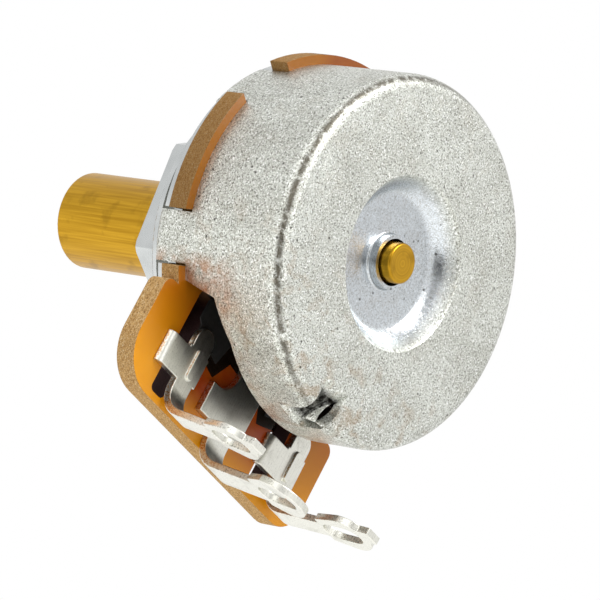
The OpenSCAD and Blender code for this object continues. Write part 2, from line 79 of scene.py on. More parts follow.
camera = bpy.data.objects.new("camera", bpy.data.cameras.new("camera"))
bpy.context.scene.collection.objects.link(camera)
bpy.context.scene.camera = camera
camera.matrix_world = (
    Matrix.Translation(Vector(CAMERA_PLACE_MM) * MM) @ camera_turn(CAMERA_RIGHT, CAMERA_DOWN).to_4x4()
)
camera.data.sensor_width = SENSOR_MM
camera.data.lens = FOCAL_PIXELS * SENSOR_MM / PHOTO_PIXELS
camera.data.clip_start = NEAREST_SEEN_MM * MM
print("lens in millimetres:", round(camera.data.lens, 1))

# %% [markdown]
# ## Nodes and colours
# A finish is a small network of nodes. One function adds a node with its settings and links, and one
# turns the hex colours that people quote, which are sRGB, into the linear numbers that light needs.


# %% Helpers for finishes
def linear(hex_colour):
    """sRGB hex to linear RGBA: c / 12.92 below 0.04045, else ((c + 0.055) / 1.055) to the power 2.4."""
    parts = [int(hex_colour[i : i + 2], 16) / 255 for i in (1, 3, 5)]
    return (*[c / 12.92 if c <= 0.04045 else ((c + 0.055) / 1.055) ** 2.4 for c in parts], 1.0)


def add(tree, kind, inputs=(), out=0, **settings):
    """Adds one shader node and gives one of its outputs. The inputs come in their order, or in a dict by
    name or number: a socket is linked, a hex colour is made linear, and any other value is set."""
    made = tree.nodes.new("ShaderNode" + kind)
    for name, value in settings.items():
        setattr(made, name, value)
    for name, value in inputs.items() if isinstance(inputs, dict) else enumerate(inputs):
        if isinstance(value, bpy.types.NodeSocket):
            tree.links.new(value, made.inputs[name])
        else:
            made.inputs[name].default_value = linear(value) if isinstance(value, str) else value
    return made.outputs[out] if made.outputs else None


def per(size_mm):
    """Scale of a pattern whose features are size_mm wide, since Object coordinates are in metres."""
    return 1 / (size_mm * MM)


def finish(name, colour, metallic, roughness):
    """A new material with a Principled shader: gives it with its node tree, the shader's inputs, and the
    Object coordinates that its patterns read."""
    material = bpy.data.materials.new(name)
    material.use_nodes = True
    tree = material.node_tree
    tree.nodes.clear()
    shine = add(tree, "BsdfPrincipled", {"Base Color": colour, "Metallic": metallic, "Roughness": roughness})
    add(tree, "OutputMaterial", (shine,))
    return material, tree, shine.node.inputs, add(tree, "TexCoord", out="Object")


# %% [markdown]
# ## Light
# Small metal parts are photographed in a white tent: nearly everything they mirror is white, and a few
# dark cards give the polished parts their edges. The world is the tent, three soft lamps shape it, and
# the cards are planes that the camera doesn't see. Whatever the camera, a mirror or a glass sees of the
# world is pure white, while matt surfaces get a softer level.

# %% Light the tent
scene = bpy.context.scene
scene.view_settings.view_transform = "Standard"
TENT_LEVEL = 0.62
WHITE_RAYS = ("Is Camera Ray", "Is Glossy Ray", "Is Transmission Ray")
AIM_MM = Vector((0, 5, -2))


def seen_white(tree):
    """1 for camera, mirror and glass rays, and 0 for the rest: the largest of the three flags."""
    flags = add(tree, "LightPath").node.outputs
    most = flags[WHITE_RAYS[0]]
    for flag in WHITE_RAYS[1:]:
        most = add(tree, "Math", (most, flags[flag]), operation="MAXIMUM")
    return most


world = bpy.data.worlds.new("tent")
scene.world = world
world.use_nodes = True
tent = world.node_tree
tent.nodes.clear()
soft = add(tent, "Background", ("#ffffff", TENT_LEVEL))
white = add(tent, "Background", ("#ffffff", 1.0))
add(tent, "OutputWorld", (add(tent, "MixShader", (seen_white(tent), soft, white)),))


def lamp(name, place_mm, size_mm, watts):
    """A square soft box at place_mm that faces the object's middle."""
    light = bpy.data.lights.new(name, "AREA")
    light.size = size_mm * MM
    light.energy = watts
    holder = bpy.data.objects.new(name, light)
    scene.collection.objects.link(holder)
    turn = (AIM_MM - Vector(place_mm)).to_track_quat("-Z", "Y").to_matrix().to_4x4()
    holder.matrix_world = Matrix.Translation(Vector(place_mm) * MM) @ turn
    print("lamp", name, watts, "watts")


lamp("key_lamp", (60, 260, 260), 220, 1.35)
lamp("side_lamp", (330, 60, 60), 200, 0.15)
lamp("low_lamp", (120, 240, -260), 180, 0.6)

# %% [markdown]
# ## Dark cards
# The tent's front has a slit for the lens, which is darkest round the camera itself. Round metal shows
# the slit as one thin dark line, and the dish of the cover shows the dark place round the lens. A column
# of small cards stands for the slit, and a larger card behind the camera for the lens.


# %% Hang the cards
CARD_LEVEL = 0.02
SLIT_CARD_MM = (34, 52)
LENS_CARD_MM = (190, 200)
SLIT_REACH_MM = (206, 211, 290)
SLIT_ELEVATIONS = range(-50, 81, 10)


def plane(name, corners_mm):
    """A flat four-cornered mesh from its corners in millimetres."""
    mesh = bpy.data.meshes.new(name)
    mesh.from_pydata([Vector(corner) * MM for corner in corners_mm], [], [(0, 1, 2, 3)])
    made = bpy.data.objects.new(name, mesh)
    scene.collection.objects.link(made)
    return made


def card(name, place_mm, width_mm, height_mm):
    """A dark card at place_mm that faces the object; only reflections and soft light meet it."""
    middle = Vector(place_mm)
    toward = (AIM_MM - middle).normalized()
    across = toward.cross(Vector((0, 0, 1))).normalized()
    up = across.cross(toward)
    corners = [middle + across * (sx * width_mm / 2) + up * (sy * height_mm / 2)
               for sx, sy in ((-1, -1), (1, -1), (1, 1), (-1, 1))]
    made = plane(name, corners)
    material, _, shader, _ = finish(name, "#000000", 0.0, 1.0)
    shader["Base Color"].default_value = (CARD_LEVEL, CARD_LEVEL, CARD_LEVEL, 1)
    shader["Specular IOR Level"].default_value = 0.0
    made.data.materials.append(material)
    made.visible_camera = False
    made.visible_shadow = False


for elevation in SLIT_ELEVATIONS:
    level, height = math.cos(math.radians(elevation)), math.sin(math.radians(elevation))
    place_mm = np.array(SLIT_REACH_MM) * (level, level, height)
    card(f"photographer_card_{elevation}", place_mm, *SLIT_CARD_MM)
card("lens_card", (160, 222, -140), *LENS_CARD_MM)
print("cards:", len(SLIT_ELEVATIONS) + 1)

# %% [markdown]
# ## Floor
# The part seems to float on white, so the floor lies far below it. It glows white for the camera and for
# mirrors, and is plain pale paint for everything else, so that it still takes the part's soft shadow.

# %% Lay the floor
FLOOR_Z_MM = -170
FLOOR_HALF_MM = 3000
FLOOR_GLOW = 0.55
floor = plane("floor", [(sx * FLOOR_HALF_MM, sy * FLOOR_HALF_MM, FLOOR_Z_MM)
                        for sx, sy in ((-1, -1), (1, -1), (1, 1), (-1, 1))])
floor_paint, paint_tree, paint, _ = finish("pale_matt_paint", "#f4f4f2", 0.0, 0.9)
paint["Emission Color"].default_value = linear("#ffffff")
glow = add(paint_tree, "Math", (seen_white(paint_tree), FLOOR_GLOW), operation="MULTIPLY")
paint_tree.links.new(glow, paint["Emission Strength"])
floor.data.materials.append(floor_paint)
print("floor at", FLOOR_Z_MM, "millimetres")

# %% [markdown]
# ## Patterns
# Every finish below is made from the same few patterns, so they come first. A mask is a number that is 1
# where something shows and 0 where it doesn't: masks are multiplied to find where they all show, and
# colours are laid one over another, each through its mask, as a painter glazes.


# %% Masks and layers
# A noise seldom leaves this range, so it is stretched from there to the whole range of a finish.
NOISE_LOW = 0.3
NOISE_HIGH = 0.7


def overlap(tree, *masks):
    """Product of all the masks, which is 1 only where every one of them is; a number weakens the rest."""
    shared = masks[0]
    for mask in masks[1:]:
        shared = add(tree, "Math", (shared, mask), operation="MULTIPLY")
    return shared


def within(tree, *limits):
    """1 where every value is past its inner limit, fading to 0 at its outer one. A limit is a value that is
    a length, such as a coordinate or a radius, then the outer and the inner limit in millimetres."""
    masks = [add(tree, "MapRange", (value, outer * MM, inner * MM)) for value, outer, inner in limits]
    return overlap(tree, *masks)


def layered(tree, colour, *layers):
    """Lays colours over a base, one after another; each layer is a mask and what shows where it is 1."""
    for mask, top in layers:
        colour = add(tree, "Mix", {0: mask, 6: colour, 7: top}, out=2, data_type="RGBA")
    return colour


def folded(tree, field, width):
    """1 along the middle level line of a noise, fading to 0 at the given distance from that level."""
    away = add(tree, "Math", (field, 0.5), operation="SUBTRACT")
    return add(tree, "MapRange", (add(tree, "Math", (away,), operation="ABSOLUTE"), 0.0, width, 1.0, 0.0))


# %% Lines, radius and facing
def lines(tree, place, across_mm, along, stretch=25.0):
    """A noise stretched along one axis, so that it reads as rolled or drawn lines."""
    scale = [1.0, 1.0, 1.0]
    scale[along] = 1 / stretch
    stretched = add(tree, "Mapping", {"Vector": place, "Scale": scale})
    return add(tree, "TexNoise", {"Vector": stretched, "Scale": per(across_mm), "Detail": 3.0})


def from_axis(tree, place):
    """Distance from the shaft's axis: the length of the coordinates with y dropped."""
    flat = add(tree, "Mapping", {"Vector": place, "Scale": (1, 0, 1)})
    return add(tree, "VectorMath", (flat,), out="Value", operation="LENGTH")


def how_sideways(tree, axis):
    """1 where the surface faces along the axis, either way, and 0 where it faces across it."""
    facing = add(tree, "SeparateXYZ", (add(tree, "TexCoord", out="Normal"),), out=axis)
    return add(tree, "Math", (facing,), operation="ABSOLUTE")


def show(tree, shader, colour, roughness, relief, depth_mm, strength):
    """Gives the shader a colour, a roughness and a relief whose full height is depth_mm."""
    normal = add(tree, "Bump", {"Height": relief, "Strength": strength, "Distance": depth_mm * MM})
    for name, value in (("Base Color", colour), ("Roughness", roughness), ("Normal", normal)):
        if value is not None:
            tree.links.new(value, shader[name])


# %% [markdown]
# ## The drawn cover
# The cover is thin steel, tinned and then drawn in a press. The drawing leaves a matt skin with fine
# worm-shaped grain, and handling adds brown smudges and a few dark specks. The grain comes from one noise
# that is folded at its middle level, so that its level lines become worms. Dirt gathers beside the
# laminate at the arch. A dark line of painted shade and dirt runs along the rear corner, and painted
# shadow darkens the stop dent's slope.
# The dish is pressed against a polished punch, so it stays smooth and a little bluer.


# %% Where dirt gathers and shade is painted
CORNER_CENTRE_R_MM = 10.9
CORNER_CENTRE_Y_MM = 11.4
SLOPE_Y_LESS_Z_MM = 21.7
# size of the noise that breaks up the corner's painted shade and dirt
CORNER_DIRT_AND_SHADE_MM = 0.55
STAIN_MM = 1.1
# size of the noise that breaks up the dent's painted shadow
DENT_SHADOW_MM = 0.35


def corner_dirt_and_painted_shade(tree, place, x, y, radius):
    """Painted shade mixed with dirt: 1 where the rear corner faces half outwards and half back: there the
    steps from the corner's centre, outwards and back, are equal. It fades over a third of a millimetre and
    towards -X."""
    outwards = add(tree, "Math", (radius, CORNER_CENTRE_R_MM * MM), operation="SUBTRACT")
    back = add(tree, "Math", (y, CORNER_CENTRE_Y_MM * MM), operation="SUBTRACT")
    apart = add(tree, "Math", (outwards, back), operation="SUBTRACT")
    apart = add(tree, "Math", (apart,), operation="ABSOLUTE")
    dirt_and_shade_noise = add(tree, "TexNoise", {"Vector": place, "Scale": per(CORNER_DIRT_AND_SHADE_MM), "Detail": 6.0})
    corner = within(tree, (apart, 0.46, 0.12), (y, 11.8, 11.9), (x, -3, 6))
    return overlap(tree, corner, add(tree, "MapRange", (dirt_and_shade_noise, 0.28, 0.50)))


def arch_stain(tree, place, y, z):
    """1 in patches low on the wall and near the board, where resin and hands have browned the tin."""
    stain = add(tree, "TexNoise", {"Vector": place, "Scale": per(STAIN_MM), "Detail": 4.0})
    low = within(tree, (z, -6.5, -7.5), (y, 9.5, 6.5))
    return overlap(tree, low, add(tree, "MapRange", (stain, 0.42, 0.60)))


def dent_painted_shadow(tree, place, x, y, z, radius):
    """Painted shadow: 1 on the dent's 45 degree slope, where y less z is 21.7 mm; limits in x, z and radius
    end it.
    """
    slope = add(tree, "Math", (y, z), operation="SUBTRACT")
    dent_shadow_noise = add(tree, "TexNoise", {"Vector": place, "Scale": per(DENT_SHADOW_MM), "Detail": 4.0})
    dent = within(tree, (slope, SLOPE_Y_LESS_Z_MM + 0.3, SLOPE_Y_LESS_Z_MM + 0.2), (z, -9.75, -10.0),
                  (x, 1.7, 1.4), (x, -1.3, -1.0), (radius, 11.7, 11.3))
    return overlap(tree, dent, add(tree, "MapRange", (dent_shadow_noise, 0.62, 0.42, 0.75, 1.0)))


# %% Smudges and specks
def smudges_and_specks(tree, place, clouds, z):
    """Masks of the brown smudges, which grow towards the arch, and of the specks, which are the middles
    of Voronoi cells where the clouds are bright."""
    smudge_mm, speck_mm = 1.3, 0.8
    hands = add(tree, "TexNoise", {"Vector": place, "Scale": per(smudge_mm), "Detail": 6.0,
                                   "Distortion": 0.6})
    near_arch = add(tree, "MapRange", (z, -3 * MM, -10 * MM, 0.15, 1.0))
    cells = add(tree, "TexVoronoi", {"Vector": place, "Scale": per(speck_mm)}, out="Distance")
    bright = add(tree, "MapRange", (clouds, 0.50, 0.54))
    smudges = overlap(tree, add(tree, "MapRange", (hands, 0.54, 0.68)), near_arch)
    return smudges, overlap(tree, add(tree, "MapRange", (cells, 0.14, 0.07)), bright)


# %% Drawn tinplate
def drawn_tinplate():
    """Matt tin on drawn steel: pale grey to the eye, pitted and worm-grained, smoother in the dish. The
    real pits are finer than a tenth of a millimetre; they are drawn at that size so that they show."""
    grain_mm, worm_mm, cloud_mm, swell_mm = 0.10, 0.26, 3.0, 3.5
    material, tree, shader, place = finish("drawn_tinplate", "#c7c5c0", 1.0, 0.4)
    x, y, z = add(tree, "SeparateXYZ", (place,)).node.outputs
    radius = from_axis(tree, place)
    outside_dish = add(tree, "MapRange", (radius, 4.9 * MM, 5.5 * MM, 0.2, 1.0))
    grain = add(tree, "TexNoise", {"Vector": place, "Scale": per(grain_mm), "Detail": 3.0, "Distortion": 0.8})
    worms = add(tree, "TexNoise", {"Vector": place, "Scale": per(worm_mm), "Detail": 2.0, "Distortion": 1.6})
    worms = folded(tree, worms, 0.06)
    clouds = add(tree, "TexNoise", {"Vector": place, "Scale": per(cloud_mm), "Detail": 4.0})
    swell = add(tree, "TexNoise", {"Vector": place, "Scale": per(swell_mm), "Detail": 2.0})
    smudges, specks = smudges_and_specks(tree, place, clouds, z)
    wall = layered(tree, "#c9cbc2", (add(tree, "MapRange", (clouds, 0.35, 0.65)), "#dcdfd7"))
    colour = layered(
        tree, "#c6ccd4",
        (outside_dish, wall),
        (overlap(tree, add(tree, "MapRange", (grain, 0.53, 0.63, 0.0, 0.95)), outside_dish), "#63615a"),
        (overlap(tree, add(tree, "MapRange", (grain, 0.46, 0.34)), outside_dish), "#ffffff"),
        (overlap(tree, worms, 0.65), "#8a887f"),
        (overlap(tree, smudges, 0.4), "#93703f"),
        (overlap(tree, arch_stain(tree, place, y, z), 0.65), "#a9692c"),
        # painted shade mixed with dirt: a dark line along the rear corner
        (overlap(tree, corner_dirt_and_painted_shade(tree, place, x, y, radius), 0.85), "#4a4336"),
        (overlap(tree, specks, 0.85), "#2e2923"),
        # painted near-black shadow on the dent's slope
        (dent_painted_shadow(tree, place, x, y, z, radius), "#171512"),
    )
    matt = add(tree, "MapRange", (grain, NOISE_LOW, NOISE_HIGH, 0.30, 0.46))
    roughness = add(tree, "Mix", {0: outside_dish, 2: 0.20, 3: matt})
    skin = overlap(tree, add(tree, "Math", (worms, grain), operation="ADD"), outside_dish)
    relief = add(tree, "Math", (skin, overlap(tree, swell, 3.0)), operation="ADD")
    show(tree, shader, colour, roughness, relief, 0.022, 0.5)
    return material


# %% [markdown]
# ## Plated plate, washer and nut
# Bright zinc is slightly blue, and sheet that was rolled before it was stamped keeps faint lines along
# one direction. A pattern that is squeezed across the lines and stretched along them gives that. Nickel
# on the bushing and the plain steel and bronze inside are the same with other colours.


# %% Zinc, nickel, steel and bronze
def rolled_metal(name, dark, light, low, high, along=0):
    """A rolled and plated metal: faint lines along one axis change its gloss and height a little, and soft
    clouds its colour. Real rolling lines are some hundredths of a millimetre apart and are drawn coarser."""
    line_mm, cloud_mm = 0.12, 1.8
    material, tree, shader, place = finish(name, light, 1.0, low)
    rolled = lines(tree, place, line_mm, along)
    clouds = add(tree, "TexNoise", {"Vector": place, "Scale": per(cloud_mm), "Detail": 3.0})
    colour = layered(tree, dark, (clouds, light))
    roughness = add(tree, "MapRange", (rolled, NOISE_LOW, NOISE_HIGH, low, high))
    show(tree, shader, colour, roughness, rolled, 0.01, 0.25)
    return material


# %% [markdown]
# ## The laminate board
# Phenolic paper board is sheets of brown paper pressed in resin. Its faces are smooth and orange, and its
# punched rim is torn: paler, fibrous, with the sheets showing as thin layers along the board's thickness.
# Black on the rear face round the track, less far out at the middle terminal, is printed ink and painted
# shade under the cover. Painted shade browns the face towards the track and darkens it between the
# terminals, and makes the inner walls of the slots nearly black. The ears in the cover's slots are brown.


# %% Face, rim, ink and painted shade of the board
# edge of the black on the rear face: printed ink and painted shade under the cover
INK_AND_SHADE_EDGE_MM = 11.7
INK_AND_SHADE_GAP_HALF_MM = 2.7
INK_AND_SHADE_LEFT_MM = 6.4


def smooth_face(tree, clouds, aside, z):
    """Colour of the board's faces: orange, with painted shade that browns it towards the track and darkens it
    between the terminals.
    """
    return layered(
        tree, "#ec9d10",
        # painted shade: browner higher up, towards the track under the arch
        (within(tree, (z, -14.0, -9.0)), "#c2700e"),
        # painted shade between the terminals
        (within(tree, (z, -15.2, -12.5), (aside, 7.6, 6.0)), "#a83f10"),
        (add(tree, "MapRange", (clouds, 0.4, 0.7, 0.0, 0.2)), "#cf8518"),
    )


def torn_rim(tree, sheets, fibres, aside, z):
    """Colour of the punched rim: pale sheets and fibres, dark holes between them, and painted shade that makes
    the inner walls of the slots nearly black.
    """
    return layered(
        tree, "#b3864b",
        (add(tree, "MapRange", (sheets, 0.35, 0.65)), "#dab276"),
        (add(tree, "MapRange", (fibres, 0.54, 0.68)), "#7d5a33"),
        (add(tree, "MapRange", (fibres, 0.42, 0.32)), "#ecd6ae"),
        # painted shade: the inner walls of the slots nearly black
        (within(tree, (aside, 7.4, 7.3), (z, -15.25, -15.2)), "#2c0d0b"),
    )


def black_ink_and_painted_shade(tree, place, x, y, aside):
    """1 on the rear face within the edge of the black, printed ink and painted shade under the cover: a circle
    that draws in by 1.7 mm at the middle terminal.
    """
    gap = add(tree, "MapRange", (aside, (INK_AND_SHADE_GAP_HALF_MM - 0.9) * MM, INK_AND_SHADE_GAP_HALF_MM * MM,
                                 (INK_AND_SHADE_EDGE_MM - 1.7) * MM, INK_AND_SHADE_EDGE_MM * MM))
    inside = add(tree, "Math", (from_axis(tree, place), gap), operation="LESS_THAN")
    left = within(tree, (x, INK_AND_SHADE_LEFT_MM + 0.1, INK_AND_SHADE_LEFT_MM))
    return overlap(tree, inside, within(tree, (y, 4.6, 4.7)), left)


# %% Phenolic paper laminate
def phenolic_paper_laminate():
    """Orange-brown resin paper: smooth cloudy faces, a torn paler rim, and black ink round the track. The
    paper's fibres are about 0.02 mm wide and are drawn coarser."""
    sheet_mm, fibre_mm, cloud_mm = 0.11, 0.08, 2.2
    material, tree, shader, place = finish("phenolic_paper_laminate", "#c07a24", 0.0, 0.42)
    shader["Specular IOR Level"].default_value = 0.35
    x, y, z = add(tree, "SeparateXYZ", (place,)).node.outputs
    aside = add(tree, "Math", (x,), operation="ABSOLUTE")
    rim = add(tree, "MapRange", (how_sideways(tree, 1), 0.75, 0.45))
    clouds = add(tree, "TexNoise", {"Vector": place, "Scale": per(cloud_mm), "Detail": 5.0})
    flat = add(tree, "Mapping", {"Vector": place, "Scale": (0.5, 1.0, 0.5)})
    sheets = add(tree, "TexNoise", {"Vector": flat, "Scale": per(sheet_mm), "Detail": 3.0, "Distortion": 0.4})
    fibres = add(tree, "TexNoise", {"Vector": place, "Scale": per(fibre_mm), "Detail": 5.0})
    up_at_ears = add(tree, "MapRange", (z, -8.2 * MM, -7.0 * MM, 0.0, 0.65))
    colour = layered(
        tree, smooth_face(tree, clouds, aside, z),
        (rim, torn_rim(tree, sheets, fibres, aside, z)),
        (up_at_ears, "#70480f"),
        # printed ink and painted shade under the cover
        (black_ink_and_painted_shade(tree, place, x, y, aside), "#1c130d"),
    )
    roughness = add(tree, "MapRange", (rim, 0.0, 1.0, 0.24, 0.85))
    torn_height = add(tree, "Math", (sheets, fibres), operation="ADD")
    relief = overlap(tree, torn_height, add(tree, "MapRange", (rim, 0.0, 1.0, 0.06, 1.0)))
    show(tree, shader, colour, roughness, relief, 0.05, 0.6)
    return material


# %% [markdown]
# ## Tinned brass terminals
# The terminals are punched from brass strip that was tinned before, so their faces are bright tin. Near
# the board their sheared sides are painted tan, a painted reflection of the orange board. Tin stays a
# little wavy, which bends what it mirrors.


# %% Tinned brass strip
def tinned_brass_strip():
    """Soft bright tin with rolled streaks; the sheared sides are speckled, and near the board they get a
    painted tan reflection of it. The real streaks and speckle are finer, and are drawn coarser so that they
    show."""
    streak_mm, speckle_mm, cloud_mm, wave_mm = 0.10, 0.11, 1.1, 1.6
    material, tree, shader, place = finish("tinned_brass_strip", "#d8d8d4", 1.0, 0.3)
    y = add(tree, "SeparateXYZ", (place,), out=1)
    side = add(tree, "MapRange", (how_sideways(tree, 0), 0.80, 0.92))
    speckle = add(tree, "TexNoise", {"Vector": place, "Scale": per(speckle_mm), "Detail": 4.0})
    clouds = add(tree, "TexNoise", {"Vector": place, "Scale": per(cloud_mm), "Detail": 4.0})
    waves = add(tree, "TexNoise", {"Vector": place, "Scale": per(wave_mm), "Detail": 2.0})
    streaks = lines(tree, place, streak_mm, 2, 14.0)
    reflection_breakup = add(tree, "MapRange", (speckle, 0.42, 0.56))
    # painted reflection of the orange board on the sheared sides near it
    board_painted_reflection = overlap(tree, side, reflection_breakup, within(tree, (y, 7.4, 6.2)), 0.8)
    colour = layered(
        tree, "#d6d5cc",
        (add(tree, "MapRange", (streaks, NOISE_LOW, NOISE_HIGH)), "#e6e5dc"),
        (add(tree, "MapRange", (clouds, 0.55, 0.7, 0.0, 0.3)), "#a3a196"),
        (add(tree, "MapRange", (speckle, 0.56, 0.68, 0.0, 0.35)), "#8b897f"),
        (overlap(tree, side, add(tree, "MapRange", (speckle, 0.55, 0.66, 0.0, 0.7))), "#75736d"),
        # painted tan reflection of the board
        (board_painted_reflection, "#c08d4c"),
    )
    relief = add(tree, "Math", (overlap(tree, waves, 1.5), overlap(tree, speckle, 0.15)), operation="ADD")
    roughness = add(tree, "MapRange", (streaks, NOISE_LOW, NOISE_HIGH, 0.30, 0.36))
    show(tree, shader, colour, roughness, relief, 0.04, 0.4)
    return material


# %% [markdown]
# ## Brass rod, and the plain inner parts
# The shaft is brass rod, drawn through a die, which leaves straight fine streaks along it. Its rear pin
# was faced on a lathe, so the streaks there are rings round the axis. The inner parts hardly show through
# the arch, but each has its own finish: printed carbon, dark moulded resin, oiled spring steel and
# phosphor bronze.


# %% Brass rod
def drawn_brass_rod():
    """Drawn brass: warm yellow with fine streaks along the shaft, rings on the pin, and dull patches. Real
    drawing streaks are some hundredths of a millimetre wide and are drawn coarser."""
    streak_mm, ring_mm, tarnish_mm = 0.15, 0.12, 1.2
    material, tree, shader, place = finish("drawn_brass_rod", "#b88f2c", 1.0, 0.26)
    streaks = lines(tree, place, streak_mm, 1, 40.0)
    out_from_axis = add(tree, "CombineXYZ", (from_axis(tree, place),))
    rings = add(tree, "TexNoise", {"Vector": out_from_axis, "Scale": per(ring_mm), "Detail": 2.0})
    faced = within(tree, (add(tree, "SeparateXYZ", (place,), out=1), 12.1, 12.2))
    drawn = add(tree, "Mix", {0: faced, 2: streaks, 3: rings})
    tarnish = add(tree, "TexNoise", {"Vector": place, "Scale": per(tarnish_mm), "Detail": 6.0})
    colour = layered(
        tree, "#a67c1e",
        (add(tree, "MapRange", (drawn, NOISE_LOW, NOISE_HIGH)), "#c79a2c"),
        (add(tree, "MapRange", (tarnish, 0.56, 0.72, 0.0, 0.45)), "#7f5d15"),
    )
    roughness = add(tree, "MapRange", (drawn, NOISE_LOW, NOISE_HIGH, 0.28, 0.42))
    show(tree, shader, colour, roughness, drawn, 0.02, 0.25)
    return material


# %% Printed and moulded parts
def matt_skin(name, dark, light, size_mm, roughness):
    """A matt moulded or printed surface with a fine uneven skin."""
    material, tree, shader, place = finish(name, dark, 0.0, roughness)
    skin = add(tree, "TexNoise", {"Vector": place, "Scale": per(size_mm), "Detail": 4.0})
    colour = layered(tree, dark, (add(tree, "MapRange", (skin, 0.35, 0.7)), light))
    show(tree, shader, colour, None, skin, 0.01, 0.3)
    return material


# %% [markdown]
# ## Finishes for the slots
# The record gives each solid a slot, and each slot gets one finish. The two colours of a finish are its
# darkest and lightest, and a metal's two numbers are the roughness of its brightest and dullest lines.

# %% Dress the solids
FINISHES = {
    # pale grey and matt: it scatters the white tent, and its grain keeps the wall from looking flat
    "cover_tin": drawn_tinplate(),
    # cold and nearly a mirror: it shows the cards as dark bands
    "zinc_plate": rolled_metal("bright_zinc_plate", "#adb0b0", "#cfd2d2", 0.20, 0.34),
    # a little warmer and duller than zinc, so the bushing parts from its nut
    "nickel": rolled_metal("dull_nickel_plate", "#a8a59c", "#cfccc2", 0.22, 0.36, along=1),
    # the only warm orange of the part, with a pale rough rim
    "phenolic": phenolic_paper_laminate(),
    # flat black that mirrors nothing
    "carbon": matt_skin("printed_carbon_ink", "#100f0e", "#23211f", 0.2, 0.7),
    # the brightest metal: soft streaks of white, and a painted tan reflection of the board on its sheared
    # sides
    "tinned_brass": tinned_brass_strip(),
    # yellow with long fine streaks that spread its highlight across the rod
    "brass": drawn_brass_rod(),
    # dark grey with an oily gloss
    "spring_steel": rolled_metal("oiled_spring_steel", "#6f7276", "#94979b", 0.28, 0.42),
    # brown-black and half matt, like an old moulding
    "rotor_resin": matt_skin("moulded_phenolic_resin", "#120e0b", "#211a15", 0.25, 0.6),
    # reddish and fairly bright
    "bronze": rolled_metal("rolled_phosphor_bronze", "#8d5c30", "#c08a52", 0.22, 0.34),
}
for name, node in frame["nodes"].items():
    node.data.materials.clear()
    node.data.materials.append(FINISHES[SLOT_OF[name]])
for slot, material in FINISHES.items():
    print(slot, "is", material.name, "with", len(material.node_tree.nodes), "nodes")

# %% [markdown]
# ## Broken edges
# No punched or drawn edge is knife sharp: each has a small round that catches the light. A solid from CAD
# has none, so a copy of it is merged into one skin, its flat neighbours are joined, and the Bevel modifier
# rounds what is left. The copy keeps the solid's form and stands for it.


# %% Copies with broken edges
WELD_M = 1e-6
FLAT_DEG = 0.2
SHARP_DEG = 32
EDGE_SEGMENTS = 2


def edges_broken(node_name, width_mm, reshape=None):
    """Copies a node's mesh, merges it, joins its flat neighbours and rounds each edge sharper than
    SHARP_DEG. reshape, if given, is a function from the array of points to the array of moved points."""
    mesh = frame["nodes"][node_name].data.copy()
    skin = bmesh.new()
    skin.from_mesh(mesh)
    bmesh.ops.remove_doubles(skin, verts=skin.verts, dist=WELD_M)
    bmesh.ops.dissolve_limit(skin, angle_limit=math.radians(FLAT_DEG), verts=skin.verts, edges=skin.edges)
    skin.to_mesh(mesh)
    skin.free()
    if reshape:
        points = np.zeros(len(mesh.vertices) * 3)
        mesh.vertices.foreach_get("co", points)
        mesh.vertices.foreach_set("co", reshape(points.reshape(-1, 3)).ravel())
    mesh.shade_smooth()
    mesh.set_sharp_from_angle(angle=math.radians(SHARP_DEG))
    piece = bpy.data.objects.new(node_name + "_finished", mesh)
    scene.collection.objects.link(piece)
    bevel = piece.modifiers.new("broken_edges", "BEVEL")
    bevel.width = width_mm * MM
    bevel.segments = EDGE_SEGMENTS
    bevel.limit_method = "ANGLE"
    bevel.angle_limit = math.radians(SHARP_DEG)
    bevel.harden_normals = True
    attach(piece, BODY_OF[node_name])
    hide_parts(node_name)
    print(piece.name, len(mesh.polygons), "faces before its edges are broken")


BROKEN_EDGES_MM = {
    "front_plate": 0.07,
    "mounting_nut": 0.12,
    "mounting_washer": 0.05,
    "shaft": 0.08,
    "rotor_carrier": 0.1,
    "stop_plate": 0.06,
}
for node_name, width_mm in BROKEN_EDGES_MM.items():
    edges_broken(node_name, width_mm)

# %% [markdown]
# ## The punched slot in the board
# The board is the strip's bed, and the slot beside the left strip was punched wide enough to run on under
# it. The solid's slot stops short of the strip, so the points of its near side move under the strip.

# %% Board with its wider slot
BOARD_EDGE_MM = 0.05
SLOT_SIDE_X_MM = (6.1, 6.6)
SLOT_SIDE_Z_MM = (-15.1, -7.5)
SLOT_WIDER_MM = 0.45


def wider_left_slot(points):
    """Points whose x and z lie within the slot's near side move by the slot's extra width."""
    moved = points / MM
    x, z = moved[:, 0], moved[:, 2]
    near_side = (x > SLOT_SIDE_X_MM[0]) & (x < SLOT_SIDE_X_MM[1])
    near_side &= (z > SLOT_SIDE_Z_MM[0]) & (z < SLOT_SIDE_Z_MM[1])
    moved[:, 0] -= np.where(near_side, SLOT_WIDER_MM, 0.0)
    print("points moved in the slot:", int(near_side.sum()))
    return moved * MM


edges_broken("base_board", BOARD_EDGE_MM, wider_left_slot)

# %% [markdown]
# ## Softer curls on the terminals
# A strip that is curled by hand tools bends on a wider arc than a simple bend needs, and the head of a
# lug starts with sloping shoulders. Both are small moves of the points that the solid already has: the
# arc's points go onto a wider arc that still touches the same two flat stretches, and the shoulders draw
# in.

# %% Terminals with soft curls
TERMINAL_EDGE_MM = 0.07
BOARD_Y_MM = 4.8
CURL_R_MM = 1.55
SOFT_CURL_R_MM = 2.15
TERMINAL_T_MM = 0.5
OUTER_HALF_MM = 1.75
SHOULDER_HALF_MM = 1.28
SHOULDER_S_MM = -1.6
ON_ARC_MM = 0.01
AT_SHOULDER_MM = 0.12
CLEAR_OF_BOARD_MM = 2
NOT_ZERO_MM = 1e-6
TERMINALS = {
    # name: axis x, curl centre z, lean in degrees, hole (y, z), half width, length before the hole
    "left_terminal": (5.12, -14.35, 9.0, (11.18, -16.43), OUTER_HALF_MM, 1.8),
    "centre_terminal": (0.0, -15.10, 8.4, (11.95, -17.24), 2.1, 2.3),
    "right_terminal": (-6.91, -14.05, 3.0, (11.87, -15.64), OUTER_HALF_MM, 1.8),
}


